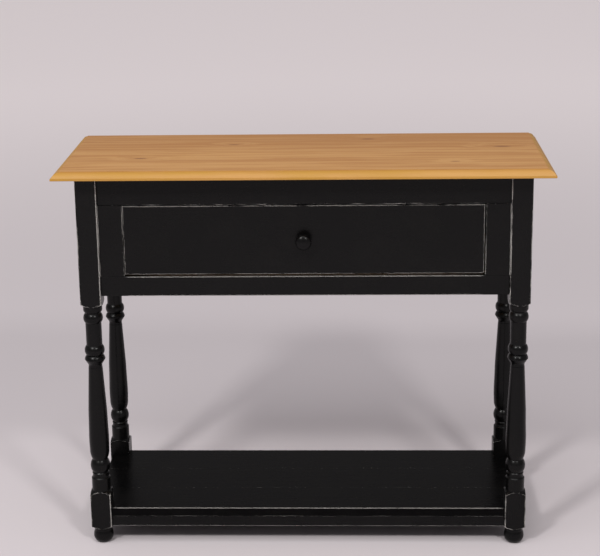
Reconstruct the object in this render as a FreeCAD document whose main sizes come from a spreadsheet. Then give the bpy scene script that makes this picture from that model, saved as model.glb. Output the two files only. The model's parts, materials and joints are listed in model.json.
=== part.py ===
import FreeCAD, Part
import math
import os
import re

import Sketcher

# Console table: four turned legs, an apron frame with one flush drawer, a low shelf and a moulded top.
# Millimetres. X runs left to right, Y front to back, Z up; the origin is on the floor under the centre.

DRIVING = {
    # overall
    "table_width": 980,
    "table_depth": 385,
    "table_height": 804,
    "side_overhang": 40,
    "front_overhang": 40,
    "rear_overhang": 23,
    # top
    "top_thickness": 16,
    "top_boards": 4,
    "moulding_width": 15,
    "moulding_ledge": 1.6,
    "moulding_radius": 17,
    "moulding_fall": 0.4,
    "lip_height": 4.2,
    "lip_rounding": 1.1,
    "quirk_depth": 1.2,
    # legs: heights above the floor and radii from the leg's axis
    "leg_side": 42,
    "arris_rounding": 1,
    "waste_radius": 31,
    "foot_flat_radius": 10.5,
    "foot_lower_curve": 14,
    "foot_radius": 20.7,
    "foot_widest": 13.5,
    "foot_upper_curve": 30,
    "foot_neck_radius": 18.2,
    "foot_neck_bottom": 26,
    "foot_neck_top": 31.5,
    "foot_shoulder": 6,
    "lower_block_bottom": 34,
    "lower_block_top": 116,
    "lower_shoulder": 6.6,
    "turning_step": 1,
    "ankle_radius": 19.2,
    "ankle_top": 144,
    "ring_bottom": 146,
    "ring_radius": 17.4,
    "ring_curve": 11,
    "ring_top": 155,
    "groove_radius": 15.8,
    "lower_bead_bottom": 157,
    "lower_bead_curve": 23.5,
    "lower_bead_top": 184.5,
    "vase_foot": 186,
    "vase_hip": 204,
    "vase_hip_radius": 19.9,
    "vase_hip_curve": 38,
    "vase_belly": 252,
    "vase_belly_radius": 20,
    "vase_belly_curve": 420,
    "vase_waist": 293,
    "vase_waist_radius": 19.1,
    "vase_top": 386,
    "vase_top_radius": 14.3,
    "cove_curve": 10.5,
    "cove_radius": 16.6,
    "collar_bottom": 396.5,
    "collar_edge_bottom": 403,
    "collar_edge_top": 405,
    "collar_edge_radius": 20.7,
    "collar_edge_curve": 2,
    "collar_curve": 12,
    "collar_top": 412.5,
    "collar_top_radius": 16.5,
    "middle_bead_curve": 15.8,
    "middle_bead_top": 433.5,
    "stem_radius": 16.2,
    "stem_top": 481.5,
    "upper_bead_curve": 15.4,
    "upper_bead_top": 501.5,
    "throat_radius": 16.2,
    "throat_top": 503,
    "neck_curve": 9,
    "neck_radius": 19.3,
    "neck_top": 511,
    "upper_block_bottom": 518.4,
    "upper_shoulder": 6,
    # apron frame
    "rail_setback": 7,
    "rail_thickness": 20,
    "apron_bottom": 540.5,
    "opening_bottom": 581,
    "opening_top": 727.5,
    "opening_width": 718,
    "edge_chamfer": 1,
    "cut_past": 1,
    "tenon_length": 16,
    "tenon_thickness": 8,
    "tenon_shoulder": 8,
    "stub_tenon": 10,
    # drawer
    "drawer_gap_left": 0.8,
    "drawer_gap_right": 2.3,
    "drawer_gap_top": 1.6,
    "drawer_gap_bottom": 4.6,
    "front_thickness": 20,
    "drawer_depth": 268,
    "drawer_arris": 0.8,
    "drawer_side": 12,
    "drawer_side_rounding": 1.5,
    "side_drop": 6,
    "back_drop": 10,
    "dado_depth": 4,
    "panel_thickness": 6,
    "panel_groove": 5,
    "panel_rise": 9,
    "knob_base_radius": 9.9,
    "knob_base_height": 2.1,
    "knob_base_curve": 6,
    "knob_stem_radius": 7.7,
    "knob_stem_height": 5.9,
    "knob_stem_curve": 8.9,
    "knob_shoulder_radius": 12.6,
    "knob_shoulder_height": 14.5,
    "knob_shoulder_curve": 6.4,
    "knob_radius": 15.8,
    "knob_widest": 19.8,
    "knob_rim_curve": 7.7,
    "knob_crown_radius": 11.4,
    "knob_crown_height": 26.2,
    "knob_length": 29,
    "knob_bore": 15,
    "screw_radius": 2,
    "screw_clearance": 0.3,
    "screw_point": 2,
    "screw_head_radius": 4,
    "screw_head_depth": 2.4,
    "screw_head_rim": 0.4,
    "screw_slot": 0.8,
    "screw_slot_depth": 1.2,
    "washer_radius": 7,
    "washer_thickness": 1.2,
    "pin_radius": 0.9,
    # drawer support
    "runner_width": 62,
    "runner_thickness": 18,
    "runner_clearance": 0.3,
    "guide_width": 22,
    "guide_height": 22,
    "kicker_thickness": 18,
    "stop_width": 22,
    "stop_gap": 0.5,
    # fixings under the top
    "batten_width": 22,
    "batten_height": 22,
    "glue_block": 26,
    "glue_block_length": 60,
    "top_screw_depth": 9,
    "top_screw_spacing": 71,
    # shelf
    "shelf_height": 80,
    "shelf_thickness": 18.5,
    "shelf_boards": 3,
    "shelf_setback": 6,
    "shelf_rear_setback": 11,
    "shelf_end_inset": 4,
    "shelf_rail_height": 23,
    "shelf_rail_thickness": 20,
    "shelf_rail_setback": 1,
    "shelf_screw_depth": 10,
    "shelf_screw_spacing": 163,
    "shelf_end_screw_spacing": 159,
}

# Places named once, from the driving dimensions
LEG_TOP = "(table_height - top_thickness)"
OUTER_X = "(table_width / 2 - side_overhang)"
INNER_X = "(table_width / 2 - side_overhang - leg_side)"
FRONT_Y = "(front_overhang - table_depth / 2)"
REAR_Y = "(table_depth / 2 - rear_overhang)"
FRAME_FRONT_Y = f"({FRONT_Y} + rail_setback)"
FRAME_BACK_Y = f"({REAR_Y} - rail_setback)"
LEG_GAP = f"({REAR_Y} - {FRONT_Y} - 2 * leg_side)"
SIDE_LENGTH = f"({FRAME_BACK_Y} - {FRAME_FRONT_Y} - 2 * rail_thickness)"
RUNNER_TOP = "(opening_bottom + drawer_gap_bottom - runner_clearance)"
DRAWER_BOTTOM = "(opening_bottom + drawer_gap_bottom)"
DRAWER_HEIGHT = "(opening_top - opening_bottom - drawer_gap_top - drawer_gap_bottom)"
DRAWER_WIDTH = "(opening_width - drawer_gap_left - drawer_gap_right)"
DRAWER_LEFT = "(drawer_gap_left - opening_width / 2)"
SHELF_UNDERSIDE = "(shelf_height - shelf_thickness)"
SHELF_FRONT_Y = f"({FRONT_Y} + shelf_setback)"
SHELF_REAR_Y = f"({REAR_Y} - shelf_rear_setback)"
SHELF_HALF = f"({OUTER_X} - shelf_end_inset)"

KNOB_RISE = f"({DRAWER_HEIGHT} / 2)"
BACK_WIDTH = f"({DRAWER_WIDTH} - 2 * drawer_side + 2 * dado_depth)"
TENON = ("rail_thickness / 2 - tenon_thickness / 2", "rail_thickness / 2 + tenon_thickness / 2")

SIDES = {"left": -1, "right": 1}
LONG_RAIL_SCREWS = 4
BOTTOM_PINS = 5

# How close a direction or a place has to be to count as the same
SAME_WAY = 0.9
SAME_PLACE = 0.1

doc = FreeCAD.newDocument("console_table")
sheet = doc.addObject("Spreadsheet::Sheet", "Sizes")
parts = []


def fill_sheet():
    for row, (name, size) in enumerate(DRIVING.items(), 1):
        sheet.set(f"A{row}", name)
        sheet.set(f"B{row}", str(size))
        sheet.setAlias(f"B{row}", name)
    doc.recompute()


def full(expression):
    """Puts the sheet's name before every alias; every alias is words joined by underscores."""
    return re.sub(r"[a-z]+(?:_[a-z]+)+", lambda word: "Sizes." + word.group(), expression)


def value(expression):
    return float(sheet.evalExpression(full(expression)))


def bind(thing, prop, expression):
    thing.setExpression(prop, full(expression))


def place(thing, at):
    for axis, expression in zip("xyz", at):
        bind(thing, ".Placement.Base." + axis, expression)


def mirrored(low, high, side):
    """The X range low..high on the right of the middle, or its mirror image on the left."""
    return (low, high) if side > 0 else (f"-({high})", f"-({low})")


# ---------------------------------------------------------------- feature helpers


def new_body(label, at=("0", "0", "0")):
    body = doc.addObject("PartDesign::Body", label)
    body.Label = label
    place(body, at)
    parts.append(body)
    return body


def box(body, name, x, y, z, kind="Additive"):
    """A box feature from its low and high limits along each axis."""
    feature = body.newObject(f"PartDesign::{kind}Box", name)
    for prop, (low, high) in zip(("Length", "Width", "Height"), (x, y, z)):
        bind(feature, prop, f"({high}) - ({low})")
    place(feature, (x[0], y[0], z[0]))
    return feature


def drill(body, name, radius, depth, at, axis=(0, 0, 1)):
    """A round hole that starts at a point and runs along an axis."""
    feature = body.newObject("PartDesign::SubtractiveCylinder", name)
    bind(feature, "Radius", radius)
    bind(feature, "Height", depth)
    feature.Placement.Rotation = FreeCAD.Rotation(FreeCAD.Vector(0, 0, 1), FreeCAD.Vector(*axis))
    place(feature, at)
    return feature


def countersink(body, name, at, axis=(0, 0, 1)):
    """The cone that a screw head sits in, widest at the point and narrowing along the axis."""
    feature = body.newObject("PartDesign::SubtractiveCone", name)
    bind(feature, "Radius1", "screw_head_radius")
    bind(feature, "Radius2", "screw_radius")
    bind(feature, "Height", "screw_head_depth")
    feature.Placement.Rotation = FreeCAD.Rotation(FreeCAD.Vector(0, 0, 1), FreeCAD.Vector(*axis))
    place(feature, at)
    return feature


def arc_between(start, end, radius, side):
    """The shorter arc between two points; it bulges to the left (1) or right (-1) of the way."""
    chord = end - start
    reach = math.sqrt(radius * radius - chord.Length * chord.Length / 4)
    left = FreeCAD.Vector(-chord.y, chord.x, 0).normalize()
    centre = start + chord * 0.5 - left * (side * reach)
    first, last = (end, start) if side > 0 else (start, end)
    begin = math.atan2(first.y - centre.y, first.x - centre.x)
    finish = math.atan2(last.y - centre.y, last.x - centre.x)
    if finish < begin:
        finish += 2 * math.pi
    circle = Part.Circle(centre, FreeCAD.Vector(0, 0, 1), radius)
    return Part.ArcOfCircle(circle, begin, finish)


def outline(body, name, role, corners):
    """A closed sketch on one of the body's origin planes.

    Each corner is (x, y) where a straight edge leaves it, or (x, y, radius, side) where an arc does.
    """
    sketch = body.newObject("Sketcher::SketchObject", name)
    plane = next(feature for feature in body.Origin.OriginFeatures if feature.Role == role)
    sketch.AttachmentSupport = [(plane, "")]
    sketch.MapMode = "FlatFace"
    points = [FreeCAD.Vector(value(corner[0]), value(corner[1]), 0) for corner in corners]
    ends = []
    for index, corner in enumerate(corners):
        start, end = points[index], points[(index + 1) % len(points)]
        if len(corner) == 2:
            sketch.addGeometry(Part.LineSegment(start, end), False)
            ends.append((1, 2))
            continue
        sketch.addGeometry(arc_between(start, end, value(corner[2]), corner[3]), False)
        ends.append((2, 1) if corner[3] > 0 else (1, 2))
    rules, sizes = [], []
    for index, corner in enumerate(corners):
        following = (index + 1) % len(corners)
        start = ends[index][0]
        rules.append(Sketcher.Constraint("Coincident", index, ends[index][1], following, ends[following][0]))
        for kind, axis, expression in (("DistanceX", -2, corner[0]), ("DistanceY", -1, corner[1])):
            if expression == "0":
                rules.append(Sketcher.Constraint("PointOnObject", index, start, axis))
                continue
            sizes.append((len(rules), expression))
            rules.append(Sketcher.Constraint(kind, -1, 1, index, start, value(expression)))
        if len(corner) == 4:
            sizes.append((len(rules), corner[2]))
            rules.append(Sketcher.Constraint("Radius", index, value(corner[2])))
    sketch.addConstraint(rules)
    for number, expression in sizes:
        bind(sketch, f"Constraints[{number}]", expression)
    sketch.Visibility = False
    return sketch


def turned(body, name, corners, kind="Revolution"):
    """Revolves an outline in the XZ plane about the body's Z axis, as solid or as cut."""
    sketch = outline(body, name + "_outline", "XZ_Plane", corners)
    feature = body.newObject(f"PartDesign::{kind}", name)
    feature.Profile = sketch
    feature.ReferenceAxis = (sketch, ["V_Axis"])
    feature.Angle = 360
    return feature


def along(body, name, role, corners, length, kind="Pad"):
    """Pads or pockets an outline by half the length to each side of its plane."""
    sketch = outline(body, name + "_outline", role, corners)
    feature = body.newObject(f"PartDesign::{kind}", name)
    feature.Profile = sketch
    bind(feature, "Length", length)
    feature.Midplane = True
    return feature


def runs(way, axis):
    """Whether an edge's direction is along X (0), Y (1) or Z (2)."""
    return abs(way[axis]) > SAME_WAY


def near(first, second=0.0):
    return abs(first - second) < SAME_PLACE


def dress(body, name, kind, size, wanted):
    """Rounds or chamfers the straight edges that the test picks by middle point and direction."""
    doc.recompute()
    base = body.Tip
    chosen = []
    for number, edge in enumerate(base.Shape.Edges, 1):
        if edge.Curve.TypeId != "Part::GeomLine":
            continue
        way = edge.Vertexes[-1].Point - edge.Vertexes[0].Point
        if wanted(edge.CenterOfMass, way.normalize()):
            chosen.append(f"Edge{number}")
    feature = body.newObject(f"PartDesign::{kind}", name)
    feature.Base = (base, chosen)
    bind(feature, "Radius" if kind == "Fillet" else "Size", size)
    return feature


# ---------------------------------------------------------------- tabletop


def moulding(out, sign):
    """Corners of a moulded edge from the underside up, on the side that `sign` points to."""
    inner = f"{sign} * ({out} - moulding_width)"
    ledge = f"{sign} * ({out} - moulding_ledge)"
    return [
        (f"{sign} * ({out} - lip_rounding)", "0", "lip_rounding", -sign),
        (f"{sign} * ({out})", "lip_rounding"),
        (f"{sign} * ({out})", "lip_height"),
        (ledge, "lip_height + moulding_fall", "moulding_radius", -sign),
        (inner, "top_thickness - quirk_depth"),
        (inner, "top_thickness"),
    ]


def reversed_edge(corners):
    """The same run of corners walked the other way; an arc moves to its other end."""
    points = [corner[:2] for corner in corners]
    arcs = [corner[2:] for corner in corners]
    walked = []
    for index in range(len(points) - 1, -1, -1):
        arc = arcs[index - 1] if index else ()
        walked.append(points[index] + ((arc[0], -arc[1]) if arc else ()))
    return walked


def top_board(number):
    """One stave of the top; the outer two carry the moulding along their outer edge."""
    count = DRIVING["top_boards"]
    body = new_body(f"top_board_{number}", ("0", "0", LEG_TOP))
    joint = [f"(table_depth * ({step} / top_boards - 0.5))" for step in (number - 1, number)]
    half_depth = "table_depth / 2"
    if number == 1:
        front = moulding(half_depth, -1)
    else:
        front = [(joint[0], "0"), (joint[0], "top_thickness")]
    if number == count:
        rear = moulding(half_depth, 1)
    else:
        rear = [(joint[1], "0"), (joint[1], "top_thickness")]
    section = front + reversed_edge(rear)
    along(body, "stave", "YZ_Plane", section, "table_width")
    beyond = "table_width"
    for side, sign in SIDES.items():
        waste = moulding("table_width / 2", sign)
        waste += [(f"{sign} * {beyond}", "top_thickness"), (f"{sign} * {beyond}", "0")]
        along(body, f"{side}_end", "XZ_Plane", waste, "2 * table_depth", "Pocket")
    for name, (x, y) in top_screw_places().items():
        low, high = value(joint[0]), value(joint[1])
        if low < value(y) < high:
            drill(body, f"hole_{name}", "screw_radius", "top_screw_depth", (x, y, "0"))


def top_screw_places():
    """Where the battens' screws enter the top: three along each batten."""
    reach = f"({OUTER_X} - rail_setback - rail_thickness - batten_width / 2)"
    middle = f"(({FRONT_Y} + {REAR_Y}) / 2)"
    places = {}
    for side, sign in SIDES.items():
        for step in (-1, 0, 1):
            places[f"{side}_{step + 2}"] = (f"{sign} * {reach}", f"({middle} + {step} * top_screw_spacing)")
    return places


# ---------------------------------------------------------------- legs


def turn_foot(body):
    """Cuts the bun foot below the lower block."""
    turned(body, "foot", [
        ("foot_flat_radius", "0", "foot_lower_curve", -1),
        ("foot_radius", "foot_widest", "foot_upper_curve", -1),
        ("foot_neck_radius", "foot_neck_bottom"),
        ("foot_neck_radius", "foot_neck_top"),
        ("leg_side / 2", "lower_block_bottom"),
        ("waste_radius", "lower_block_bottom + foot_shoulder"),
        ("waste_radius", "0"),
    ], "Groove")


def turn_shaft(body):
    """Cuts the beads, vase and stem between the two square blocks."""
    turned(body, "shaft", [
        ("waste_radius", "lower_block_top - lower_shoulder"),
        ("leg_side / 2", "lower_block_top"),
        ("ankle_radius", "lower_block_top + turning_step"),
        ("ankle_radius", "ankle_top"),
        ("ring_radius", "ring_bottom", "ring_curve", 1),
        ("ring_radius", "ring_top"),
        ("groove_radius", "lower_bead_bottom", "lower_bead_curve", -1),
        ("groove_radius", "lower_bead_top"),
        ("groove_radius", "vase_foot", "vase_hip_curve", -1),
        ("vase_hip_radius", "vase_hip", "vase_belly_curve", -1),
        ("vase_belly_radius", "vase_belly"),
        ("vase_waist_radius", "vase_waist"),
        ("vase_top_radius", "vase_top", "cove_curve", 1),
        ("cove_radius", "collar_bottom"),
        ("collar_edge_radius", "collar_edge_bottom", "collar_edge_curve", -1),
        ("collar_edge_radius", "collar_edge_top", "collar_curve", -1),
        ("collar_top_radius", "collar_top", "middle_bead_curve", -1),
        ("stem_radius", "middle_bead_top"),
        ("stem_radius", "stem_top", "upper_bead_curve", -1),
        ("throat_radius", "upper_bead_top"),
        ("throat_radius", "throat_top", "neck_curve", -1),
        ("neck_radius", "neck_top"),
        ("neck_radius", "upper_block_bottom - turning_step"),
        ("leg_side / 2", "upper_block_bottom"),
        ("waste_radius", "upper_block_bottom + upper_shoulder"),
    ], "Groove")


def mortise(body, name, faces_x, toward, low, high):
    """A mortise in the face that looks along X or Y, in line with the set-back rails' tenons."""
    across = f"{-toward[1]} * (leg_side / 2 - rail_setback - rail_thickness / 2)"
    span = (f"({across}) - tenon_thickness / 2", f"({across}) + tenon_thickness / 2")
    depth = ("leg_side / 2 - tenon_length", "leg_side / 2 + cut_past")
    depth = mirrored(*depth, toward[0])
    x, y = (depth, span) if faces_x else (span, depth)
    box(body, name, x, y, (low, high), "Subtractive")


def turned_blank():
    """The square bar with its foot and shaft turned, before any mortise is cut."""
    body = doc.addObject("PartDesign::Body", "leg_blank")
    half = ("-leg_side / 2", "leg_side / 2")
    box(body, "bar", half, half, ("0", LEG_TOP))
    dress(body, "arrises", "Fillet", "arris_rounding", lambda middle, way: runs(way, 2))
    turn_foot(body)
    turn_shaft(body)
    return body


def leg(end, side, blank):
    """One leg; its mortises look toward the other legs."""
    rearward, outward = ("front", "rear").index(end), SIDES[side]
    to_middle = -1 if rearward else 1
    at_y = f"{REAR_Y} - leg_side / 2" if rearward else f"{FRONT_Y} + leg_side / 2"
    body = new_body(f"leg_{end}_{side}", (f"{outward} * ({OUTER_X} - leg_side / 2)", at_y, "0"))
    body.BaseFeature = blank
    inward = (-outward, to_middle)
    backward = (to_middle, -outward)
    apron = ("apron_bottom + tenon_shoulder", f"{LEG_TOP} - tenon_shoulder")
    if rearward:
        mortise(body, "back_mortise", True, inward, *apron)
    else:
        mortise(body, "top_rail_mortise", True, inward, "opening_top + tenon_shoulder", apron[1])
        mortise(body, "bottom_rail_mortise", True, inward, apron[0], "opening_bottom - tenon_shoulder")
    mortise(body, "side_mortise", False, backward, *apron)


# ---------------------------------------------------------------- apron frame


def cross_rail(label, y, low, high):
    """A rail between the left and right legs, with a tenon at each end."""
    body = new_body(label, ("0", y, low))
    height = f"({high} - {low})"
    box(body, "board", (f"-{INNER_X}", INNER_X), ("0", "rail_thickness"), ("0", height))
    tall = ("tenon_shoulder", f"{height} - tenon_shoulder")
    for side, sign in SIDES.items():
        x = mirrored(INNER_X, f"{INNER_X} + tenon_length", sign)
        box(body, f"{side}_tenon", x, TENON, tall)
    return body


def stile_centre(side):
    return f"{side} * ({INNER_X} + opening_width / 2) / 2"


def stile_mortise(body, side, z):
    reach = f"(({INNER_X} - opening_width / 2) / 2 - tenon_shoulder)"
    centre = stile_centre(SIDES[side])
    x = (f"{centre} - {reach}", f"{centre} + {reach}")
    box(body, f"{side}_stile_mortise", x, TENON, z, "Subtractive")


def front_rails():
    upper = cross_rail("front_top_rail", FRAME_FRONT_Y, "opening_top", LEG_TOP)
    lower = cross_rail("front_bottom_rail", FRAME_FRONT_Y, "apron_bottom", "opening_bottom")
    tall = "(opening_bottom - apron_bottom)"
    for side in SIDES:
        stile_mortise(upper, side, ("0", "stub_tenon"))
        stile_mortise(lower, side, (f"{tall} - stub_tenon", tall))
    dress(upper, "lower_arris", "Chamfer", "edge_chamfer",
          lambda middle, way: runs(way, 0) and near(middle.z) and near(middle.y))
    dress(lower, "front_arrises", "Chamfer", "edge_chamfer",
          lambda middle, way: runs(way, 0) and near(middle.y))


def stile(side):
    """An upright between the front rails, at one side of the drawer opening."""
    body = new_body(f"front_stile_{side}", (stile_centre(SIDES[side]), FRAME_FRONT_Y, "opening_bottom"))
    half = f"(({INNER_X} - opening_width / 2) / 2)"
    tall = "(opening_top - opening_bottom)"
    box(body, "board", (f"-{half}", half), ("0", "rail_thickness"), ("0", tall))
    span = (f"tenon_shoulder - {half}", f"{half} - tenon_shoulder")
    box(body, "lower_tenon", span, TENON, ("-stub_tenon", "0"))
    box(body, "upper_tenon", span, TENON, (tall, f"{tall} + stub_tenon"))
    inner = -SIDES[side] * value(half)
    dress(body, "opening_arris", "Chamfer", "edge_chamfer",
          lambda middle, way: runs(way, 2) and near(middle.y) and near(middle.x, inner))


def side_apron(side):
    """The deep board between the front and rear leg on one side."""
    x = mirrored(f"{OUTER_X} - rail_setback - rail_thickness", f"{OUTER_X} - rail_setback", SIDES[side])
    body = new_body(f"side_apron_{side}", (x[0], f"{FRONT_Y} + leg_side", "apron_bottom"))
    tall = f"({LEG_TOP} - apron_bottom)"
    box(body, "board", ("0", "rail_thickness"), ("0", LEG_GAP), ("0", tall))
    span = ("tenon_shoulder", f"{tall} - tenon_shoulder")
    box(body, "front_tenon", TENON, ("-tenon_length", "0"), span)
    box(body, "rear_tenon", TENON, (LEG_GAP, f"{LEG_GAP} + tenon_length"), span)
    dress(body, "lower_arrises", "Chamfer", "edge_chamfer",
          lambda middle, way: runs(way, 1) and near(middle.z))


def back_apron():
    body = cross_rail("back_apron", f"{FRAME_BACK_Y} - rail_thickness", "apron_bottom", LEG_TOP)
    dress(body, "lower_arrises", "Chamfer", "edge_chamfer",
          lambda middle, way: runs(way, 0) and near(middle.z))


def support_x(side, width, start="0"):
    """An X range of the given width that begins beside the drawer opening."""
    inner = f"opening_width / 2 + {start}"
    return mirrored(inner, f"{inner} + {width}", SIDES[side])


def drawer_supports(side):
    """Runner, guide, kicker and stop on one side of the drawer, from the front frame to the back apron."""
    start = f"{FRAME_FRONT_Y} + rail_thickness"
    inset = "guide_width - runner_width"
    x = support_x(side, "runner_width", inset)
    runner = new_body(f"drawer_runner_{side}", (x[0], start, f"{RUNNER_TOP} - runner_thickness"))
    box(runner, "board", ("0", "runner_width"), ("0", SIDE_LENGTH), ("0", "runner_thickness"))
    kicker = new_body(f"drawer_kicker_{side}", (x[0], start, "opening_top"))
    box(kicker, "board", ("0", "runner_width"), ("0", SIDE_LENGTH), ("0", "kicker_thickness"))
    x = support_x(side, "guide_width")
    guide = new_body(f"drawer_guide_{side}", (x[0], start, RUNNER_TOP))
    box(guide, "strip", ("0", "guide_width"), ("0", SIDE_LENGTH), ("0", "guide_height"))
    x = support_x(side, "stop_width", "-stop_width")
    gap = f"({FRAME_FRONT_Y} + drawer_depth + stop_gap)"
    stop = new_body(f"drawer_stop_{side}", (x[0], gap, RUNNER_TOP))
    length = f"({FRAME_BACK_Y} - rail_thickness - {gap})"
    box(stop, "block", ("0", "stop_width"), ("0", length), ("0", "guide_height"))
    dress(stop, "corners", "Chamfer", "edge_chamfer", lambda middle, way: runs(way, 2))


def batten(side):
    """The strip inside a side apron that the top is screwed to from below."""
    x = mirrored(f"{OUTER_X} - rail_setback - rail_thickness - batten_width",
                 f"{OUTER_X} - rail_setback - rail_thickness", SIDES[side])
    start = f"{FRONT_Y} + leg_side"
    body = new_body(f"top_batten_{side}", (x[0], start, f"{LEG_TOP} - batten_height"))
    box(body, "strip", ("0", "batten_width"), ("0", LEG_GAP), ("0", "batten_height"))
    for name, (_, y) in top_screw_places().items():
        if name.startswith(side):
            at = ("batten_width / 2", f"{y} - ({start})", "0")
            drill(body, f"hole_{name}", "screw_radius", "batten_height", at)
            countersink(body, f"sink_{name}", at)


def glue_block(end, side):
    """A three-cornered block glued where the top meets the front or back rail."""
    along_y = f"{FRAME_FRONT_Y} + rail_thickness" if end == "front" else f"{FRAME_BACK_Y} - rail_thickness"
    sign = 1 if end == "front" else -1
    centre = f"{SIDES[side]} * opening_width / 4"
    body = new_body(f"glue_block_{end}_{side}", (centre, along_y, LEG_TOP))
    corners = [("0", "0"), (f"{sign} * glue_block", "0"), ("0", "-glue_block")]
    along(body, "block", "YZ_Plane", corners, "glue_block_length")


# ---------------------------------------------------------------- drawer


def drawer_front():
    body = new_body("drawer_front", (DRAWER_LEFT, FRAME_FRONT_Y, DRAWER_BOTTOM))
    box(body, "board", ("0", DRAWER_WIDTH), ("0", "front_thickness"), ("0", DRAWER_HEIGHT))
    lap = "front_thickness - drawer_side"
    rebate_y = (lap, "front_thickness + cut_past")
    rebate_z = ("-cut_past", f"{DRAWER_HEIGHT} + cut_past")
    for name, x in (("left", ("-cut_past", "drawer_side")),
                    ("right", (f"{DRAWER_WIDTH} - drawer_side", f"{DRAWER_WIDTH} + cut_past"))):
        box(body, f"{name}_rebate", x, rebate_y, rebate_z, "Subtractive")
    groove_x = ("drawer_side", f"{DRAWER_WIDTH} - drawer_side")
    groove_y = ("front_thickness - panel_groove", "front_thickness + cut_past")
    groove_z = ("panel_rise", "panel_rise + panel_thickness")
    box(body, "panel_groove", groove_x, groove_y, groove_z, "Subtractive")
    at = (f"-({DRAWER_LEFT})", "-cut_past", KNOB_RISE)
    radius = "screw_radius + screw_clearance"
    drill(body, "knob_hole", radius, "front_thickness + 2 * cut_past", at, (0, 1, 0))
    dress(body, "front_arrises", "Chamfer", "drawer_arris", lambda middle, way: near(middle.y))


def drawer_side(side):
    """A side board, lapped into the front and grooved for the bottom and the back."""
    offset = "0" if side == "left" else f"{DRAWER_WIDTH} - drawer_side"
    lap = "(front_thickness - drawer_side)"
    at = (f"{DRAWER_LEFT} + {offset}", f"{FRAME_FRONT_Y} + {lap}", DRAWER_BOTTOM)
    body = new_body(f"drawer_side_{side}", at)
    long = f"(drawer_depth - {lap})"
    tall = f"({DRAWER_HEIGHT} - side_drop)"
    box(body, "board", ("0", "drawer_side"), ("0", long), ("0", tall))
    inner = ("drawer_side - panel_groove", "drawer_side + cut_past")
    dado = ("drawer_side - dado_depth", "drawer_side + cut_past")
    if side == "right":
        inner, dado = ("-cut_past", "panel_groove"), ("-cut_past", "dado_depth")
    box(body, "panel_groove", inner, ("-cut_past", f"{long} + cut_past"),
        ("panel_rise", "panel_rise + panel_thickness"), "Subtractive")
    box(body, "back_dado", dado, (f"{long} - 2 * drawer_side", f"{long} - drawer_side"),
        ("panel_rise + panel_thickness", f"{tall} + cut_past"), "Subtractive")
    dress(body, "upper_arrises", "Fillet", "drawer_side_rounding",
          lambda middle, way: runs(way, 1) and near(middle.z, value(tall)))


def drawer_back():
    """The back board, held in the sides' dadoes above the bottom panel."""
    at = (f"{DRAWER_LEFT} + drawer_side - dado_depth",
          f"{FRAME_FRONT_Y} + drawer_depth - 2 * drawer_side",
          f"{DRAWER_BOTTOM} + panel_rise + panel_thickness")
    body = new_body("drawer_back", at)
    tall = f"({DRAWER_HEIGHT} - back_drop - panel_rise - panel_thickness)"
    box(body, "board", ("0", BACK_WIDTH), ("0", "drawer_side"), ("0", tall))
    for number, x in pin_places():
        drill(body, f"pin_hole_{number}", "pin_radius", "drawer_side", (x, "drawer_side / 2", "0"))


def pin_places():
    """Evenly spaced pins along the back, measured from the back board's left end."""
    share = f"{BACK_WIDTH} / {BOTTOM_PINS + 1}"
    return [(number, f"{number} * {share}") for number in range(1, BOTTOM_PINS + 1)]


def drawer_bottom():
    """The thin panel in the grooves of the front and sides, pinned up into the back."""
    groove_floor = "(front_thickness - panel_groove)"
    at = (f"{DRAWER_LEFT} + drawer_side - panel_groove", f"{FRAME_FRONT_Y} + {groove_floor}",
          f"{DRAWER_BOTTOM} + panel_rise")
    body = new_body("drawer_bottom", at)
    wide = f"({DRAWER_WIDTH} - 2 * drawer_side + 2 * panel_groove)"
    notch = ("panel_groove", f"{wide} - panel_groove")
    box(body, "front_edge", notch, ("0", "panel_groove"), ("0", "panel_thickness"))
    long = f"(drawer_depth - {groove_floor})"
    box(body, "panel", ("0", wide), ("panel_groove", long), ("0", "panel_thickness"))
    for number, x in pin_places():
        at = (f"{x} + panel_groove - dado_depth", f"{long} - 1.5 * drawer_side", "0")
        drill(body, f"pin_hole_{number}", "pin_radius", "panel_thickness", at)


def knob():
    """A turned knob whose axis points to the front; it is drilled from behind for its screw."""
    body = new_body("drawer_knob", ("0", FRAME_FRONT_Y, f"{DRAWER_BOTTOM} + {KNOB_RISE}"))
    body.Placement.Rotation = FreeCAD.Rotation(FreeCAD.Vector(1, 0, 0), 90)
    rise = "(knob_length - knob_crown_height)"
    crown_curve = f"(knob_crown_radius ^ 2 + {rise} ^ 2) / (2 * {rise})"
    turned(body, "head", [
        ("0", "0"),
        ("knob_base_radius", "0"),
        ("knob_base_radius", "knob_base_height", "knob_base_curve", 1),
        ("knob_stem_radius", "knob_stem_height", "knob_stem_curve", 1),
        ("knob_shoulder_radius", "knob_shoulder_height", "knob_shoulder_curve", -1),
        ("knob_radius", "knob_widest", "knob_rim_curve", -1),
        ("knob_crown_radius", "knob_crown_height", crown_curve, -1),
        ("0", "knob_length"),
    ])
    drill(body, "bore", "screw_radius", "knob_bore", ("0", "0", "0"))


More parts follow.
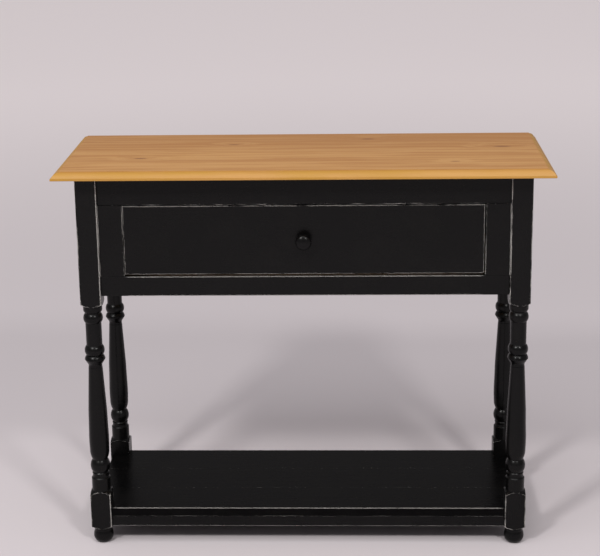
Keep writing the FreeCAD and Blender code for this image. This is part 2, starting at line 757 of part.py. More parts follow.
def knob_screw():
    """The screw and its washer, driven from inside the drawer into the knob."""
    rear = f"{FRAME_FRONT_Y} + front_thickness"
    body = new_body("knob_screw", ("0", rear, f"{DRAWER_BOTTOM} + {KNOB_RISE}"))
    body.Placement.Rotation = FreeCAD.Rotation(FreeCAD.Vector(1, 0, 0), 90)
    crown = "(washer_thickness + screw_head_depth)"
    turned(body, "shank_and_head", [
        ("0", f"-{crown}"),
        ("screw_radius", f"-{crown}", "screw_head_radius", 1),
        ("screw_head_radius", "-washer_thickness - screw_head_rim"),
        ("screw_head_radius", "-washer_thickness"),
        ("washer_radius", "-washer_thickness"),
        ("washer_radius", "0"),
        ("screw_radius", "0"),
        ("screw_radius", "front_thickness + knob_bore - screw_point"),
        ("0", "front_thickness + knob_bore"),
    ])
    half = "screw_slot / 2"
    box(body, "slot", ("-screw_head_radius - cut_past", "screw_head_radius + cut_past"), (f"-{half}", half),
        (f"-{crown} - cut_past", f"screw_slot_depth - {crown}"), "Subtractive")


# ---------------------------------------------------------------- shelf


def shelf_board(number):
    """One board of the shelf; the front and rear ones are notched round the legs' blocks."""
    count = DRIVING["shelf_boards"]
    depth = f"({SHELF_REAR_Y} - {SHELF_FRONT_Y})"
    body = new_body(f"shelf_board_{number}", ("0", SHELF_FRONT_Y, SHELF_UNDERSIDE))
    low = f"({depth} * {number - 1} / shelf_boards)"
    high = f"({depth} * {number} / shelf_boards)"
    box(body, "board", (f"-{SHELF_HALF}", SHELF_HALF), (low, high), ("0", "shelf_thickness"))
    notch = None
    if number == 1:
        notch = ("-cut_past", "leg_side - shelf_setback")
    if number == count:
        notch = (f"{depth} - leg_side + shelf_rear_setback", f"{depth} + cut_past")
    if notch:
        for side, sign in SIDES.items():
            x = mirrored(INNER_X, f"{SHELF_HALF} + cut_past", sign)
            box(body, f"{side}_notch", x, notch, ("-cut_past", "shelf_thickness + cut_past"), "Subtractive")
    shelf_screw_holes(body, low, high)
    half, thick = value(SHELF_HALF), value("shelf_thickness")

    def outer_upper(middle, way):
        long_edge = runs(way, 0) and (near(middle.y) or near(middle.y, value(depth)))
        end_edge = runs(way, 1) and near(abs(middle.x), half)
        return (long_edge or end_edge) and near(middle.z, thick)

    dress(body, "arrises", "Fillet", "arris_rounding", outer_upper)


def shelf_screw_places():
    """Screws up through the shelf's rails: a row in each long rail and a pair in each short one."""
    front = f"({SHELF_FRONT_Y} + shelf_rail_setback + shelf_rail_thickness / 2)"
    rear = f"({SHELF_REAR_Y} - shelf_rail_setback - shelf_rail_thickness / 2)"
    middle = f"(({FRONT_Y} + {REAR_Y}) / 2)"
    places = {}
    for step in range(LONG_RAIL_SCREWS):
        x = f"({2 * step + 1 - LONG_RAIL_SCREWS} * shelf_screw_spacing / 2)"
        places[f"front_{step + 1}"] = (x, front)
        places[f"back_{step + 1}"] = (x, rear)
    reach = f"({SHELF_HALF} - shelf_rail_setback - shelf_rail_thickness / 2)"
    for side, sign in SIDES.items():
        for number, step in enumerate((-1, 1), 1):
            y = f"({middle} + {step} * shelf_end_screw_spacing / 2)"
            places[f"{side}_{number}"] = (f"({sign} * {reach})", y)
    return places


def shelf_screw_holes(body, low, high):
    for name, (x, y) in shelf_screw_places().items():
        local = f"{y} - {SHELF_FRONT_Y}"
        if value(low) < value(local) < value(high):
            drill(body, f"hole_{name}", "screw_radius", "shelf_screw_depth", (x, local, "0"))


def rail_holes(body, wanted, at):
    for name, (x, y) in shelf_screw_places().items():
        if name.startswith(wanted):
            local = (f"{x} - ({at[0]})", f"{y} - ({at[1]})", "0")
            drill(body, f"hole_{name}", "screw_radius", "shelf_rail_height", local)
            countersink(body, f"sink_{name}", local)


def shelf_rail(name):
    """A rail under the shelf, between two of the legs' lower blocks."""
    bottom = f"{SHELF_UNDERSIDE} - shelf_rail_height"
    if name in SIDES:
        x = mirrored(f"{SHELF_HALF} - shelf_rail_setback - shelf_rail_thickness",
                     f"{SHELF_HALF} - shelf_rail_setback", SIDES[name])
        at = (x[0], f"{FRONT_Y} + leg_side", bottom)
        size = ("shelf_rail_thickness", LEG_GAP)
    else:
        front = f"{SHELF_FRONT_Y} + shelf_rail_setback"
        back = f"{SHELF_REAR_Y} - shelf_rail_setback - shelf_rail_thickness"
        at = (f"-{INNER_X}", front if name == "front" else back, bottom)
        size = (f"2 * {INNER_X}", "shelf_rail_thickness")
    body = new_body(f"shelf_rail_{name}", at)
    box(body, "board", ("0", size[0]), ("0", size[1]), ("0", "shelf_rail_height"))
    rail_holes(body, name, at)
    dress(body, "lower_arrises", "Chamfer", "edge_chamfer", lambda middle, way: near(middle.z))


# ---------------------------------------------------------------- screws and pins


def screw(name, x, y, z, length):
    """A countersunk wood screw that points up, with a slotted head."""
    shank = doc.addObject("Part::Cylinder", f"{name}_shank")
    bind(shank, "Radius", "screw_radius")
    bind(shank, "Height", length)
    head = doc.addObject("Part::Cone", f"{name}_head")
    bind(head, "Radius1", "screw_head_radius")
    bind(head, "Radius2", "screw_radius")
    bind(head, "Height", "screw_head_depth")
    slot = doc.addObject("Part::Box", f"{name}_slot")
    bind(slot, "Length", "2 * screw_head_radius")
    bind(slot, "Width", "screw_slot")
    bind(slot, "Height", "screw_slot_depth")
    place(shank, (x, y, z))
    place(head, (x, y, z))
    place(slot, (f"{x} - screw_head_radius", f"{y} - screw_slot / 2", z))
    whole = doc.addObject("Part::Fuse", f"{name}_blank")
    whole.Base, whole.Tool = shank, head
    cut = doc.addObject("Part::Cut", name)
    cut.Base, cut.Tool = whole, slot
    return cut


def gather(label, members):
    group = doc.addObject("Part::Compound", label)
    group.Label = label
    group.Links = members
    parts.append(group)


def top_screws():
    bottom = f"{LEG_TOP} - batten_height"
    length = "batten_height + top_screw_depth"
    members = [screw(f"top_screw_{name}", x, y, bottom, length)
               for name, (x, y) in top_screw_places().items()]
    gather("top_fixing_screws", members)


def shelf_screws():
    bottom = f"{SHELF_UNDERSIDE} - shelf_rail_height"
    length = "shelf_rail_height + shelf_screw_depth"
    members = [screw(f"shelf_screw_{name}", x, y, bottom, length)
               for name, (x, y) in shelf_screw_places().items()]
    gather("shelf_fixing_screws", members)


def bottom_pins():
    """The pins that hold the drawer bottom up to the back board."""
    left = f"{DRAWER_LEFT} + drawer_side - dado_depth"
    y = f"{FRAME_FRONT_Y} + drawer_depth - 1.5 * drawer_side"
    members = []
    for number, x in pin_places():
        pin = doc.addObject("Part::Cylinder", f"pin_{number}")
        bind(pin, "Radius", "pin_radius")
        bind(pin, "Height", "panel_thickness + drawer_side")
        place(pin, (f"{left} + {x}", y, f"{DRAWER_BOTTOM} + panel_rise"))
        members.append(pin)
    gather("drawer_bottom_pins", members)


# ---------------------------------------------------------------- the whole table


def build_all():
    fill_sheet()
    for number in range(1, DRIVING["top_boards"] + 1):
        top_board(number)
    blank = turned_blank()
    for end in ("front", "rear"):
        for side in SIDES:
            leg(end, side, blank)
            glue_block(end, side)
    front_rails()
    back_apron()
    for side in SIDES:
        stile(side)
        side_apron(side)
        drawer_supports(side)
        batten(side)
        drawer_side(side)
    drawer_front()
    drawer_back()
    drawer_bottom()
    knob()
    knob_screw()
    bottom_pins()
    for number in range(1, DRIVING["shelf_boards"] + 1):
        shelf_board(number)
    for name in ("front", "back", "left", "right"):
        shelf_rail(name)
    top_screws()
    shelf_screws()
    doc.recompute()


def check_all():
    for thing in doc.Objects:
        if {"Invalid", "Error"} & set(thing.State):
            raise RuntimeError(f"{thing.Label} failed: {thing.State}")
    for part in parts:
        if part.Shape.isNull() or not part.Shape.isValid():
            raise RuntimeError(f"{part.Label} has no valid shape")


def write_all():
    os.makedirs("parts", exist_ok=True)
    for part in parts:
        part.Shape.exportStep(f"parts/{part.Label}.step")
        print(f"{part.Label:24} {part.Shape.Volume / 1000:9.2f} cm3  solids {len(part.Shape.Solids)}")


build_all()
check_all()
write_all()
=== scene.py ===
import json
import math

import bpy
from mathutils import Matrix, Vector


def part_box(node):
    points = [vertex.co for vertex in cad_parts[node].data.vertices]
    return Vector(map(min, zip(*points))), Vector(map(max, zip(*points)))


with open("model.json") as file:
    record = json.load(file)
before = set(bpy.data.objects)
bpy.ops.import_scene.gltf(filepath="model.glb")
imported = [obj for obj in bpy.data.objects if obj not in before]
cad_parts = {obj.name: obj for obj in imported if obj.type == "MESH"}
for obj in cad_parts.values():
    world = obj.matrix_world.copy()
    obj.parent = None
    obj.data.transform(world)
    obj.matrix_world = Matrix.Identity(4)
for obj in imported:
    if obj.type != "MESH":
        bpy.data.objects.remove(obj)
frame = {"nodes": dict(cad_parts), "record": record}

# Everything is in metres, +Z up. The table faces -Y and its long side runs along X.
X, Y, Z = 0, 1, 2
FRONT = (0, -1, 0)
# about what a direction halfway between two axes has in each of them
DIAGONAL = 0.7
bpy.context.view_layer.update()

# Colours are linear.
PAINT = (0.0020, 0.0019, 0.0020, 1)
PAINT_THIN = (0.0046, 0.0043, 0.0041, 1)
UNDERCOAT = (0.78, 0.75, 0.71, 1)
OIL_LIGHT = (0.53, 0.284, 0.096, 1)
OIL_DARK = (0.385, 0.176, 0.053, 1)
# painted shade: the moulding's tone, darker and stronger than the flat, evens out the extra light its
# curve catches
OIL_EDGE_PAINTED_SHADE = (0.405, 0.212, 0.031, 1)
OIL_KNOT = (0.22, 0.090, 0.030, 1)
PINE_LIGHT = (0.66, 0.46, 0.25, 1)
PINE_DARK = (0.45, 0.275, 0.125, 1)
PLY_LIGHT = (0.62, 0.45, 0.27, 1)
PLY_DARK = (0.50, 0.335, 0.18, 1)
ZINC_LIGHT = (0.62, 0.61, 0.58, 1)
ZINC_DARK = (0.36, 0.35, 0.33, 1)
# painted shade: the floor is darker near the table, to even out the pool of lamp light there
FLOOR_NEAR_PAINTED_SHADE = (0.59, 0.545, 0.565, 1)
FLOOR_FAR = (0.92, 0.85, 0.86, 1)
BACKGROUND = (0.74, 0.70, 0.715, 1)

# How strongly each finish mirrors what is round it; Blender's own value is 0.5.
PAINT_GLOSS = 0.15
TURNED_GLOSS = 0.16
SHELF_GLOSS = 0.035
WOOD_GLOSS = 0.3

# The pattern of worn paint. A scale is the cells per metre, a weight what the pattern adds to the
# level of wear. Undercoat shows where that passes BARE_LEVEL less the piece's own amount.
PATCH_SCALE = 22
PATCH_WEIGHT = 3.4
SPECK_SCALE = 420
SPECK_WEIGHT = 1.8
BARE_LEVEL = 3.5
BARE_FADE = 0.12
HOLLOW_REACH = 0.004
JOINT_FADE = 0.012

# the boards of the top from front to back, with how far each one leans to the dark tone: painted
# shade, darker towards the back where less light falls
OILED_BOARDS_PAINTED_SHADE = {"top_board_1": 0.0, "top_board_2": 0.06, "top_board_3": 0.28, "top_board_4": 0.56}
# the knots of the top: X, Y and radius
KNOTS = [(0.405, 0.035, 0.011), (0.130, 0.120, 0.009), (-0.330, -0.060, 0.008),
         (-0.150, 0.070, 0.007), (0.300, -0.105, 0.006)]
# how far a step along each axis counts from a knot: less along the grain, nothing in depth
KNOT_SHAPE = (0.45, 1, 0)
# the width of the moulding round the top
MOULDING = 0.015
# each leg, with how much its edges are worn, and how much more the one at the front or the back
# that is nearer the middle of the table
LEGS = {"leg_front_left": (0.35, 2.3), "leg_front_right": (0.35, 0.35),
        "leg_rear_left": (-0.2, 0.2), "leg_rear_right": (-0.2, 0.2)}
# the rails over and under the drawer, with how much they are worn
FRONT_RAILS = {"front_top_rail": 0.15, "front_bottom_rail": 1.2}
STILES = ["front_stile_left", "front_stile_right"]
APRONS = ["side_apron_left", "side_apron_right", "back_apron"]
# the rails of the shelf, with the way each one's outer face looks in X and Y
SHELF_RAILS = {"shelf_rail_front": (0, -1), "shelf_rail_back": (0, 1),
               "shelf_rail_left": (-1, 0), "shelf_rail_right": (1, 0)}
# the boards of the shelf, with the way each one's outer edge looks in Y, where it has one
SHELF_BOARDS = {"shelf_board_1": -1, "shelf_board_2": 0, "shelf_board_3": 1}

# the lamps and the sky
LAMP_SIZE = 0.42
LAMP_COLOUR = (1.0, 0.985, 0.965)
LAMP_TARGET = (0, 0, 0.45)
SKY_STRENGTH = 0.45
DAYLIGHT_SPREAD = math.radians(50)
FLOOR_REACH = 40.0


class Shader:
    """A material's node tree, with a short call for each kind of node used here."""

    def __init__(self, name):
        self.material = bpy.data.materials.new(name)
        self.material.use_nodes = True
        self.nodes = self.material.node_tree.nodes
        self.links = self.material.node_tree.links
        self.nodes.clear()
        self.surface = self.nodes.new("ShaderNodeBsdfPrincipled")
        self.output = self.nodes.new("ShaderNodeOutputMaterial")
        self.links.new(self.surface.outputs["BSDF"], self.output.inputs["Surface"])
        self.place = self.nodes.new("ShaderNodeTexCoord").outputs["Object"]

    def plug(self, socket, value):
        """Link a socket to another node's output, or set it to a plain value."""
        if isinstance(value, bpy.types.NodeSocket):
            self.links.new(value, socket)
        else:
            socket.default_value = value

    def set(self, **values):
        """Fill sockets of the surface: words_with_underscores stand for the socket's name."""
        for word, value in values.items():
            self.plug(self.surface.inputs[word.replace("_", " ").title()], value)

    def gloss(self, level):
        self.plug(self.surface.inputs["Specular IOR Level"], level)

    def math(self, operation, *values):
        node = self.nodes.new("ShaderNodeMath")
        node.operation = operation
        for socket, value in zip(node.inputs, values):
            self.plug(socket, value)
        return node.outputs[0]

    def plus(self, total, *others):
        for other in others:
            total = self.math("ADD", total, other)
        return total

    def times(self, product, *others):
        for other in others:
            product = self.math("MULTIPLY", product, other)
        return product

    def vector(self, operation, *values):
        node = self.nodes.new("ShaderNodeVectorMath")
        node.operation = operation
        for socket, value in zip(node.inputs, values):
            self.plug(socket, value)
        return node.outputs["Value"] if operation in ("DOT_PRODUCT", "LENGTH") else node.outputs[0]

    def moved(self, place, scale=(1, 1, 1), shift=(0, 0, 0)):
        """Coordinates stretched by scale and then shifted."""
        return self.vector("ADD", self.vector("MULTIPLY", place, scale), shift)

    def split(self, vector):
        """The three parts of a vector."""
        node = self.nodes.new("ShaderNodeSeparateXYZ")
        self.plug(node.inputs[0], vector)
        return node.outputs

    def alike(self, value):
        """A vector with the same value in each direction."""
        node = self.nodes.new("ShaderNodeCombineXYZ")
        for socket in node.inputs:
            self.plug(socket, value)
        return node.outputs[0]

    def noise(self, place, scale, detail=2.0, roughness=0.5):
        node = self.nodes.new("ShaderNodeTexNoise")
        self.plug(node.inputs["Vector"], place)
        node.inputs["Scale"].default_value = scale
        node.inputs["Detail"].default_value = detail
        node.inputs["Roughness"].default_value = roughness
        return node.outputs["Fac"]

    def grain(self, place, axis, along, scale, detail=2.0, roughness=0.5):
        """Noise that is drawn out along an axis, where along is under 1."""
        return self.noise(self.moved(place, stretched(axis, along)), scale, detail, roughness)

    def ramp(self, value, low, high, to_low=0.0, to_high=1.0):
        """A smooth step: to_low below low, to_high above high."""
        node = self.nodes.new("ShaderNodeMapRange")
        node.interpolation_type = "SMOOTHSTEP"
        for word, number in (("Value", value), ("From Min", low), ("From Max", high),
                             ("To Min", to_low), ("To Max", to_high)):
            self.plug(node.inputs[word], number)
        return node.outputs["Result"]

    def mix(self, factor, first, second):
        """A colour from first, at factor 0, to second, at 1."""
        node = self.nodes.new("ShaderNodeMix")
        node.data_type = "RGBA"
        self.plug(node.inputs["Factor"], factor)
        colours = [socket for socket in node.inputs if socket.type == "RGBA"]
        self.plug(colours[0], first)
        self.plug(colours[1], second)
        return next(socket for socket in node.outputs if socket.type == "RGBA")

    def bump(self, height, distance):
        """Fine relief, as deep as distance where height goes from 0 to 1."""
        node = self.nodes.new("ShaderNodeBump")
        node.inputs["Distance"].default_value = distance
        self.plug(node.inputs["Height"], height)
        self.plug(self.surface.inputs["Normal"], node.outputs["Normal"])

    def rounded_normal(self, radius):
        """The surface normal as if every edge were rounded to this radius."""
        node = self.nodes.new("ShaderNodeBevel")
        node.samples = 6
        node.inputs["Radius"].default_value = radius
        return node.outputs["Normal"]

    def openness(self, distance):
        """1 on faces and outer edges, less in hollows and inner corners."""
        node = self.nodes.new("ShaderNodeAmbientOcclusion")
        node.samples = 6
        node.only_local = True
        node.inputs["Distance"].default_value = distance
        return node.outputs["AO"]


def long_axis(node):
    """The axis that a piece is longest along, which its grain follows."""
    low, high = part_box(node)
    size = high - low
    return max((X, Y, Z), key=lambda axis: size[axis])


def stretched(axis, along):
    """Scale factors that stretch a pattern along an axis, where along is under 1."""
    return tuple(along if direction == axis else 1.0 for direction in (X, Y, Z))


def seed_shift(seed):
    """A shift that gives each piece its own stretch of a pattern."""
    return (seed * 3.17, seed * 7.31, seed * 1.93)


def give(node, material):
    """Put a material on a CAD node, in place of those it came with."""
    slots = frame["nodes"][node].data.materials
    slots.clear()
    slots.append(material)


# Painted wood

class Wear:
    """Where and how much a painted piece is rubbed.

    amount       from about -0.9, very little, to about 1.2, nearly every edge
    radius       how far in from the edge the paint thins
    along_only   only the edges that run along the grain wear
    less_across  otherwise, how much less the edges across the grain wear
    facing       only the edges on that side wear
    most, extra  the edges that look in the direction most wear more, by extra
    reach        no wear further out than this along the grain, where a joint is painted over
    turned       the middle and the half width of a leg, whose turned parts don't wear
    """

    def __init__(self, amount, radius=0.0022, along_only=True, less_across=0.0, facing=None,
                 most=None, extra=0.0, reach=None, turned=None):
        self.amount = amount
        self.radius = radius
        self.along_only = along_only
        self.less_across = less_across
        self.facing = facing
        self.most = most
        self.extra = extra
        self.reach = reach
        self.turned = turned


UNWORN = Wear(-2.0)


def worn_edges(shader, place, axis, wear):
    """How far the paint is rubbed off, from 0 to 1: along the outer edges, in broken lines."""
    normal = shader.nodes.new("ShaderNodeNewGeometry").outputs["Normal"]
    rounded = shader.rounded_normal(wear.radius)
    bend_at_edge = 1 - math.cos(math.radians(45))
    edge = shader.math("SUBTRACT", 1.0, shader.vector("DOT_PRODUCT", rounded, normal))
    edge = shader.math("DIVIDE", edge, bend_at_edge)
    across = shader.math("ABSOLUTE", shader.split(rounded)[axis])
    patches = shader.noise(place, PATCH_SCALE, detail=3, roughness=0.6)
    specks = shader.noise(place, SPECK_SCALE, detail=3, roughness=0.75)
    level = shader.plus(shader.times(patches, PATCH_WEIGHT), shader.times(specks, SPECK_WEIGHT), edge)
    if wear.most:
        likeness = shader.vector("DOT_PRODUCT", rounded, wear.most)
        level = shader.plus(level, shader.ramp(likeness, 0.75, 0.95, 0.0, wear.extra))
    if not wear.along_only:
        level = shader.math("SUBTRACT", level, shader.ramp(across, 0.1, 0.3, 0.0, wear.less_across))
    start = BARE_LEVEL - wear.amount
    # worn enough, on an edge, and not in a hollow
    masks = [shader.ramp(level, start, start + BARE_FADE),
             shader.ramp(edge, 0.15, 0.3),
             shader.ramp(shader.openness(HOLLOW_REACH), 0.80, 0.93)]
    if wear.along_only:
        masks.append(shader.ramp(across, 0.1, 0.25, 1.0, 0.0))
    if wear.facing:
        side = shader.vector("DOT_PRODUCT", rounded, wear.facing)
        masks.append(shader.ramp(side, 0.15, 0.35))
    if wear.turned:
        middle, half = wear.turned
        off = shader.vector("MULTIPLY", shader.vector("SUBTRACT", shader.place, middle), (1, 1, 0))
        masks.append(shader.ramp(shader.vector("LENGTH", off), half, half * 1.02))
    if wear.reach:
        out = shader.math("ABSOLUTE", shader.split(shader.place)[axis])
        masks.append(shader.ramp(out, wear.reach - JOINT_FADE, wear.reach, 1.0, 0.0))
    return shader.times(*masks)


def paint(node, axis, seed, wear, gloss=PAINT_GLOSS):
    """Satin black paint, brushed along the grain, with a pale undercoat at the worn edges."""
    shader = Shader("paint_" + node)
    place = shader.moved(shader.place, shift=seed_shift(seed))
    strokes = shader.grain(place, axis, along=0.05, scale=700, detail=4, roughness=0.6)
    pores = shader.grain(place, axis, along=0.05, scale=150, detail=3, roughness=0.65)
    cloud = shader.noise(place, scale=14, detail=4, roughness=0.6)
    mottle = shader.noise(place, scale=260)
    thin = shader.times(shader.ramp(cloud, 0.38, 0.72), shader.ramp(mottle, 0.3, 0.75))
    rubbed = worn_edges(shader, place, axis, wear)
    coat = shader.mix(thin, PAINT, PAINT_THIN)
    roughness = shader.plus(shader.ramp(cloud, 0.3, 0.7, 0.20, 0.27), shader.times(strokes, 0.08),
                            shader.times(rubbed, 0.2))
    relief = shader.plus(shader.times(strokes, 0.4), pores)
    relief = shader.math("SUBTRACT", relief, shader.times(rubbed, 0.8))
    shader.set(base_color=shader.mix(rubbed, coat, UNDERCOAT), roughness=roughness)
    shader.gloss(gloss)
    shader.bump(relief, distance=0.0002)
    give(node, shader.material)


def paint_pieces():
    """Every painted piece. Each one's seed counts on from the number that its list starts at."""
    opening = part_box("front_stile_right")[0].x
    between_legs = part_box("leg_front_right")[0].x
    for seed, (node, (amount, extra)) in enumerate(LEGS.items()):
        low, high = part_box(node)
        middle = (low + high) / 2
        nearer_middle = (-math.copysign(DIAGONAL, middle.x), math.copysign(DIAGONAL, middle.y), 0)
        wear = Wear(amount, radius=0.004, along_only=False, less_across=0.35, most=nearer_middle,
                    extra=extra, turned=(middle, (high.x - low.x) / 2))
        paint(node, Z, seed, wear, TURNED_GLOSS)
    for seed, (node, amount) in enumerate(FRONT_RAILS.items(), 10):
        paint(node, X, seed, Wear(amount, radius=0.0026, facing=FRONT, reach=opening))
    for seed, node in enumerate(STILES, 12):
        paint(node, Z, seed, Wear(0.5, facing=FRONT))
    for seed, node in enumerate(APRONS, 20):
        paint(node, long_axis(node), seed, Wear(0.4))
    for seed, (node, (x, y)) in enumerate(SHELF_RAILS.items(), 25):
        outer_lower = (x * DIAGONAL, y * DIAGONAL, -DIAGONAL)
        paint(node, long_axis(node), seed, Wear(-0.9, most=outer_lower, extra=1.9))
    for seed, (node, side) in enumerate(SHELF_BOARDS.items(), 30):
        wear = UNWORN
        if side:
            wear = Wear(-0.85, radius=0.003, facing=(0, side, 0), extra=2.2, reach=between_legs,
                        most=(0, side * DIAGONAL, DIAGONAL))
        paint(node, X, seed, wear, SHELF_GLOSS)
    front_upper = (0, -DIAGONAL, DIAGONAL)
    paint("drawer_front", X, 40,
          Wear(0.75, radius=0.002, along_only=False, facing=FRONT, most=front_upper, extra=0.3))
    paint("drawer_knob", Y, 41, UNWORN, TURNED_GLOSS)


# Clear wood

def knots_in(shader, knots):
    """Two masks around the knots: the dark heart, and the grain that bends round it."""
    heart, sway = 0.0, 0.0
    for x, y, radius in knots:
        away = shader.moved(shader.vector("SUBTRACT", shader.place, (x, y, 0)), KNOT_SHAPE)
        distance = shader.math("DIVIDE", shader.vector("LENGTH", away), radius)
        heart = shader.math("MAXIMUM", heart, shader.ramp(distance, 0.35, 1.0, 1.0, 0.0))
        sway = shader.math("MAXIMUM", sway, shader.ramp(distance, 0.5, 4.5, 1.0, 0.0))
    return heart, sway


def clear_wood(name, axis, seed, light, dark, roughness, knots=(), edge_painted_shade=None, figure=1.0,
               painted_shade=0.0):
    """Softwood under oil, or bare: long growth rings, fine fibres, knots and soft cloudiness.

    edge_painted_shade makes, from the shader, a pair of mask and colour for a region of another tone,
    here painted shade on the moulding, figure is how strongly the rings show, and deeper moves the
    whole piece to its dark tone, as painted shade.
    """
    shader = Shader(name)
    place = shader.moved(shader.place, shift=seed_shift(seed))
    heart, sway = knots_in(shader, knots)
    wander = shader.grain(place, axis, along=0.35, scale=5)
    bend = shader.plus(shader.times(wander, 0.06), shader.times(sway, 0.02))
    sideways = shader.vector("MULTIPLY", stretched(axis, 0.0), shader.alike(bend))
    bent = shader.vector("ADD", place, sideways)
    rings = shader.grain(bent, axis, along=0.035, scale=60, detail=3, roughness=0.55)
    fibres = shader.grain(bent, axis, along=0.02, scale=900, detail=4, roughness=0.6)
    cloud = shader.grain(place, axis, along=0.3, scale=9, detail=3, roughness=0.55)
    # the last term also darkens the whole piece as painted shade, where a board is set to it
    tone = shader.plus(shader.ramp(rings, 0.36, 0.66, 0.0, 0.62 * figure),
                       shader.ramp(fibres, 0.3, 0.75, 0.0, 0.28),
                       shader.ramp(cloud, 0.3, 0.7, painted_shade - 0.08, painted_shade + 0.22))
    colour = shader.mix(tone, light, dark)
    if edge_painted_shade:
        mask, tint = edge_painted_shade(shader)
        colour = shader.mix(mask, colour, tint)
    colour = shader.mix(shader.times(heart, 0.75), colour, OIL_KNOT)
    shader.set(base_color=colour,
               roughness=shader.plus(shader.ramp(rings, 0.3, 0.7, roughness, roughness + 0.08),
                                     shader.times(fibres, 0.08)))
    shader.gloss(WOOD_GLOSS)
    shader.bump(shader.plus(rings, shader.times(fibres, 0.5)), distance=0.00025)
    return shader.material


def oil_top():
    """The boards of the top: one oil, with the figure of each board its own, and the boards painted
    darker towards the back as painted shade.
    """
    boards = list(OILED_BOARDS_PAINTED_SHADE)
    low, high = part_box(boards[0])[0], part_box(boards[-1])[1]
    for seed, (node, painted_shade) in enumerate(OILED_BOARDS_PAINTED_SHADE.items()):
        give(node, clear_wood("oil_" + node, X, seed, OIL_LIGHT, OIL_DARK, 0.38, knots=KNOTS,
                              edge_painted_shade=moulding_painted_shade(low, high), painted_shade=painted_shade))


def moulding_painted_shade(low, high):
    """The moulded edge is painted darker and stronger in colour than the flat: painted shade that
    evens out the stronger light its curved face catches.
    """
    half = (high - low) / 2 - Vector((MOULDING, MOULDING, 0))
    fade = 0.001

    def mask(shader):
        parts = shader.split(shader.place)
        outside = shader.math("MAXIMUM", *[
            shader.ramp(shader.math("ABSOLUTE", parts[axis]), half[axis] - fade, half[axis] + fade)
            for axis in (X, Y)])
        streaks = shader.grain(shader.place, X, along=0.25, scale=30, detail=3)
        return shader.times(outside, shader.ramp(streaks, 0.3, 0.7, 0.45, 0.9)), OIL_EDGE_PAINTED_SHADE

    return mask


def bare_pieces():
    """The unpainted pieces inside the frame and the drawer, whose seeds count on from 60."""
    slots = {entry["node"]: entry["material_slot"] for entry in frame["record"]["subparts"]}
    for seed, node in enumerate(sorted(slots), 60):
        if slots[node] == "bare_wood":
            give(node, clear_wood("bare_" + node, long_axis(node), seed, PINE_LIGHT, PINE_DARK, 0.6))
        elif slots[node] == "drawer_panel":
            give(node, clear_wood("ply_" + node, X, seed, PLY_LIGHT, PLY_DARK, 0.65, figure=0.6))
        elif slots[node] == "steel":
            give(node, zinc("zinc_" + node, seed))


def zinc(name, seed):
    """Zinc-plated steel with a dull, patchy sheen."""
    shader = Shader(name)
    place = shader.moved(shader.place, shift=seed_shift(seed))
    patches = shader.noise(place, scale=350, detail=4, roughness=0.65)
    scratches = shader.grain(place, Y, along=0.05, scale=3000)
    shader.set(base_color=shader.mix(shader.ramp(patches, 0.3, 0.75), ZINC_LIGHT, ZINC_DARK),
               metallic=1.0,
               roughness=shader.ramp(shader.plus(patches, scratches), 0.6, 1.4, 0.28, 0.55))
    shader.bump(scratches, distance=0.00005)
    return shader.material


# Studio

def floor():
    mesh = bpy.data.meshes.new("floor")
    corners = [(x * FLOOR_REACH, y * FLOOR_REACH, 0) for x, y in ((-1, -1), (1, -1), (1, 1), (-1, 1))]
    mesh.from_pydata(corners, [], [(0, 1, 2, 3)])
    plane = bpy.data.objects.new("floor", mesh)
    bpy.context.scene.collection.objects.link(plane)
    mesh.materials.append(one_sided(Shader("floor_pale")))


def one_sided(shader):
    """A pale, dull surface that is solid from above and clear from below, with painted shade that
    darkens it near the table against the pool of lamp light.
    """
    # painted shade: darker near the middle, lighter far out
    away = shader.ramp(shader.vector("LENGTH", shader.place), 1.0, 6.0)
    shader.set(base_color=shader.mix(away, FLOOR_NEAR_PAINTED_SHADE, FLOOR_FAR), roughness=0.75)
    side = shader.nodes.new("ShaderNodeNewGeometry").outputs["Backfacing"]
    clear = shader.nodes.new("ShaderNodeBsdfTransparent")
    blend = shader.nodes.new("ShaderNodeMixShader")
    for socket, source in zip(blend.inputs, (side, shader.surface.outputs[0], clear.outputs[0])):
        shader.plug(socket, source)
    shader.plug(shader.output.inputs["Surface"], blend.outputs[0])
    return shader.material


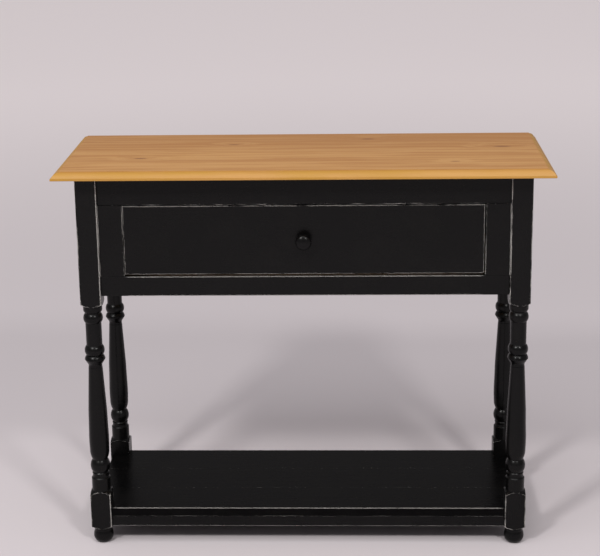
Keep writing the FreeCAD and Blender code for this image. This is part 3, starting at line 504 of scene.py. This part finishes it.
def softbox(name, place, power):
    """A square area light at place, aimed at the middle of the table."""
    light = bpy.data.lights.new(name, "AREA")
    light.size = LAMP_SIZE
    light.energy = power
    light.color = LAMP_COLOUR
    lamp = bpy.data.objects.new(name, light)
    lamp.location = place
    lamp.rotation_euler = (Vector(LAMP_TARGET) - Vector(place)).to_track_quat("-Z", "Y").to_euler()
    bpy.context.scene.collection.objects.link(lamp)


def daylight(towards, strength):
    """Even light that comes from far away in that direction, soft as through a wide window."""
    light = bpy.data.lights.new("daylight", "SUN")
    light.energy = strength
    light.angle = DAYLIGHT_SPREAD
    lamp = bpy.data.objects.new("daylight", light)
    lamp.rotation_euler = Vector(towards).to_track_quat("Z", "Y").to_euler()
    bpy.context.scene.collection.objects.link(lamp)


def studio():
    world = bpy.data.worlds.new("studio")
    world.use_nodes = True
    sky = world.node_tree.nodes["Background"]
    sky.inputs["Color"].default_value = BACKGROUND
    sky.inputs["Strength"].default_value = SKY_STRENGTH
    bpy.context.scene.world = world
    softbox("key_light", (-1.5, -2.6, 2.9), power=60)
    softbox("fill_light", (1.3, -2.8, 2.9), power=48)
    daylight((-0.2, -0.4, 1.0), strength=1.24)
    bpy.context.scene.view_settings.view_transform = "Standard"


def camera():
    """In front of the table and above it, a little to the right, turned slightly."""
    place = Vector((0.0977, -3.1109, 1.4627))
    yaw, pitch, roll = -0.0353, -0.2592, -0.0141
    ahead = Vector((math.sin(yaw) * math.cos(pitch), math.cos(yaw) * math.cos(pitch), math.sin(pitch)))
    level = Vector((math.cos(yaw), -math.sin(yaw), 0))
    over = level.cross(ahead)
    right = level * math.cos(roll) + over * math.sin(roll)
    up = right.cross(ahead)
    data = bpy.data.cameras.new("camera")
    data.sensor_width = 36
    data.lens = 93.22
    data.shift_y = -0.08
    eye = bpy.data.objects.new("camera", data)
    turn = Matrix((right, up, -ahead)).transposed()
    eye.matrix_world = Matrix.Translation(place) @ turn.to_4x4()
    bpy.context.scene.collection.objects.link(eye)
    bpy.context.scene.camera = eye


paint_pieces()
oil_top()
bare_pieces()
floor()
studio()
camera()
